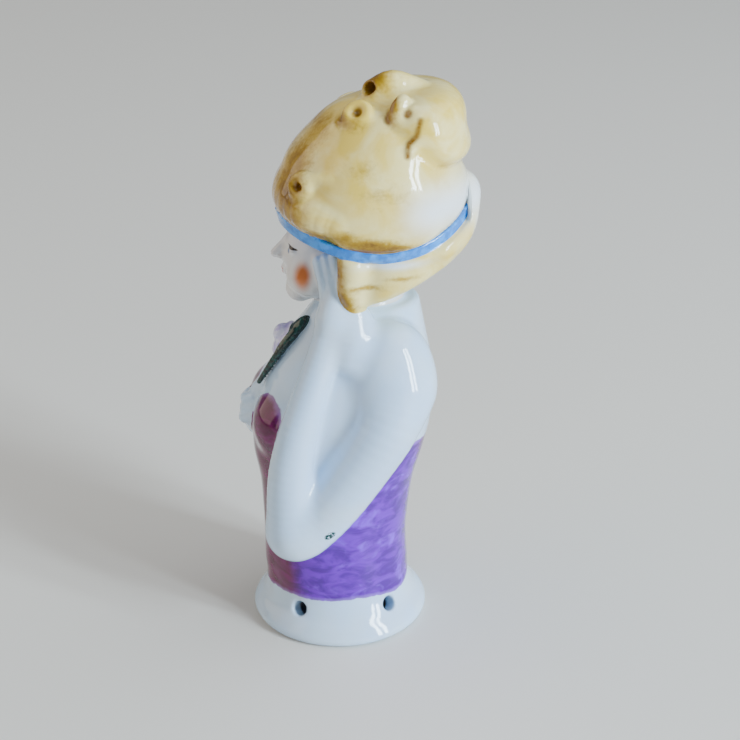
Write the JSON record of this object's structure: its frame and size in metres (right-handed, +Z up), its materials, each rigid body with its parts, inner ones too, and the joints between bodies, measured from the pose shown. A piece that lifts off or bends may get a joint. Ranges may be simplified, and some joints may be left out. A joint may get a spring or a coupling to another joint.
{
  "type": "pin cushion half doll",
  "caption": "Hollow glazed figure of a posing lady, head to waist, with a flared base pierced by sew holes for a pin cushion",
  "frame": {"origin": "centre of the foot ring, on the plane the figure stands on", "axes": "+Z up through the head, -Y the way the figure faces, +X the figure's left side"},
  "size_m": [0.0331, 0.0333, 0.0801],
  "materials": {
    "porcelain": "clear gloss glaze, painted enamel dress",
    "hair_glaze": "gloss, pale yellow wash over ochre shading",
    "ribbon_enamel": "gloss light-blue enamel",
    "rose_enamel": "gloss lavender enamel",
    "leaf_enamel": "gloss dark green enamel"
  },
  "bodies": {
    "root": {"body_casting": "porcelain", "head_casting": "porcelain", "left_arm": "porcelain", "right_arm": "porcelain", "hair_crown": "hair_glaze", "hair_fringe": "hair_glaze", "hair_nape_roll": "hair_glaze", "hair_bun": "hair_glaze", "hair_topknot": "hair_glaze", "rosette_curl_left": "hair_glaze", "rosette_curl_right": "hair_glaze", "scroll_curl_left": "hair_glaze", "scroll_curl_right": "hair_glaze", "temple_curl_left": "hair_glaze", "temple_curl_right": "hair_glaze", "headband": "ribbon_enamel", "rose_bloom": "rose_enamel", "rose_stem": "leaf_enamel", "rose_leaf": "leaf_enamel"}
  },
  "joints": []
}
